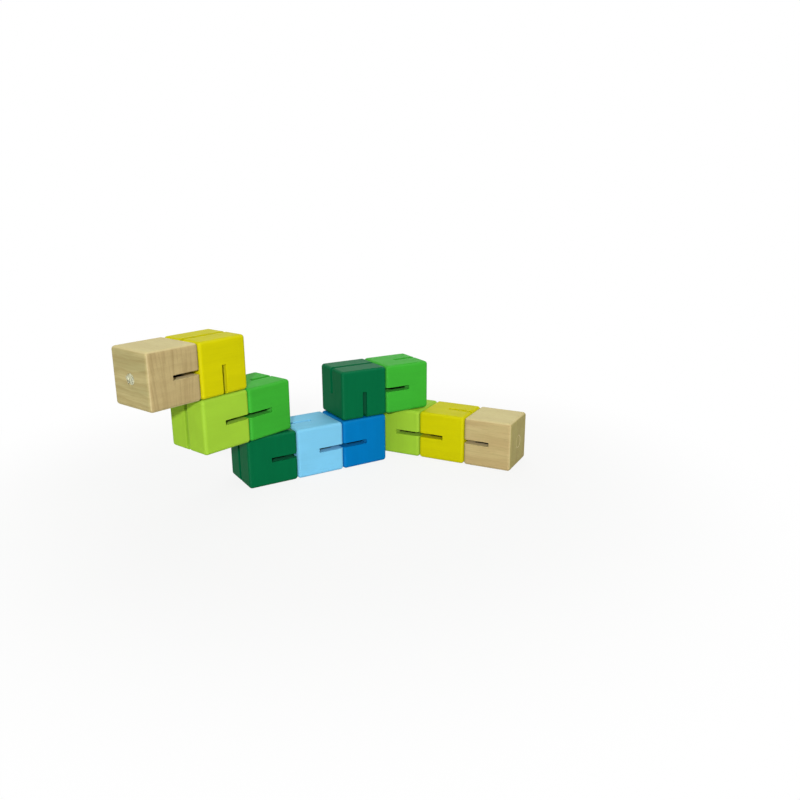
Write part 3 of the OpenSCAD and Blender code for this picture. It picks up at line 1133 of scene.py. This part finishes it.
floor_mesh = bmesh.new()
bmesh.ops.create_grid(floor_mesh, x_segments=1, y_segments=1, size=FLOOR_REACH)
floor = object_from(floor_mesh, "floor")
ground, tree, shader = new_material("white_ground")
shader.inputs["Base Color"].default_value = FLOOR_GREY
shader.inputs["Roughness"].default_value = 0.8
shader.inputs["Specular IOR Level"].default_value = 0.2
glow = tree.nodes.new("ShaderNodeEmission")
outwards = distance_from(tree, own_place(tree))
white = between(tree, outwards, SHADOW_WITHIN, ALL_WHITE_FROM, GLOW_NEAR, GLOW_FAR)
fade = tree.nodes.new("ShaderNodeMixShader")
feed(tree, fade.inputs[0], maths(tree, "MULTIPLY", white, seen_directly(tree)))
feed(tree, fade.inputs[1], shader.outputs[0])
feed(tree, fade.inputs[2], glow.outputs[0])
feed(tree, tree.nodes["Material Output"].inputs["Surface"], fade.outputs[0])
floor.data.materials.append(ground)
floor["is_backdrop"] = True
print("floor in m:", [round(v, 1) for v in floor.dimensions])

# %% [markdown]
# The world round the object is the same white to the camera. What it gives as light is dimmer, and
# tinted a little, as a room is whose walls aren't quite white.

# %% White world
WORLD_LIGHT = 0.29
ROOM_TINT = (0.95, 1, 0.88, 1)
PURE_WHITE = (1, 1, 1, 1)

world = bpy.data.worlds.new("studio")
scene.world = world
world.use_nodes = True
tree = world.node_tree
sky = tree.nodes["Background"]
seen = seen_directly(tree)
feed(tree, sky.inputs["Color"], blend_colours(tree, seen, ROOM_TINT, PURE_WHITE))
feed(tree, sky.inputs["Strength"], between(tree, seen, 0, 1, at_low=WORLD_LIGHT, smooth=False))
print("world:", world.name, "gives", WORLD_LIGHT, "of the light that it shows")

# %% [markdown]
# A small lamp just over the camera draws the crisp shadows in the kerfs and under the top cube. Its
# height and side were worked out from where those shadows end. A weak one at the right keeps the fronts
# level with the left sides, and a broad one overhead lights the tops. It is a shade warmer, because the
# tops in the photograph are yellower than the fronts. A broad lamp behind shows the sides that the
# photograph doesn't. How strong each one is was found by rendering each alone and adding them up, until
# every face was about as bright as in the photograph.

# %% Lamps
LAMP_DISTANCE = 1.2
WARM = (1, 1, 0.92)


def lamp(name, azimuth, elevation, size, power, colour=(1, 1, 1)):
    data = bpy.data.lights.new(name, "AREA")
    data.color = colour
    data.shape = "DISK"
    data.size = size
    data.energy = power
    away = direction(math.radians(azimuth), math.radians(elevation))
    look_from(bpy.data.objects.new(name, data), away, LAMP_DISTANCE)


lamp("key", azimuth=-32, elevation=20, size=0.07, power=9.7)
lamp("right", azimuth=30, elevation=40, size=0.3, power=1.5)
lamp("above", azimuth=-32, elevation=88, size=1.0, power=2.8, colour=WARM)
lamp("behind", azimuth=150, elevation=35, size=1.0, power=4.5)
print("lamps:", len(bpy.data.lights))

# %% [markdown]
# The cell prints how far the box of the finished object differs from that of the frame. The finish may
# not change the object's size. This box is a little wider, because it takes the sharp corners of each
# turned cube's own box.

# %% Sizes, and the end
new_low, new_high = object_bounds()
changes = [(a - b) / MM for a, b in zip((*new_low, *new_high), (*cad_low, *cad_high))]
print("difference of the boxes in mm:", [round(change, 2) for change in changes])
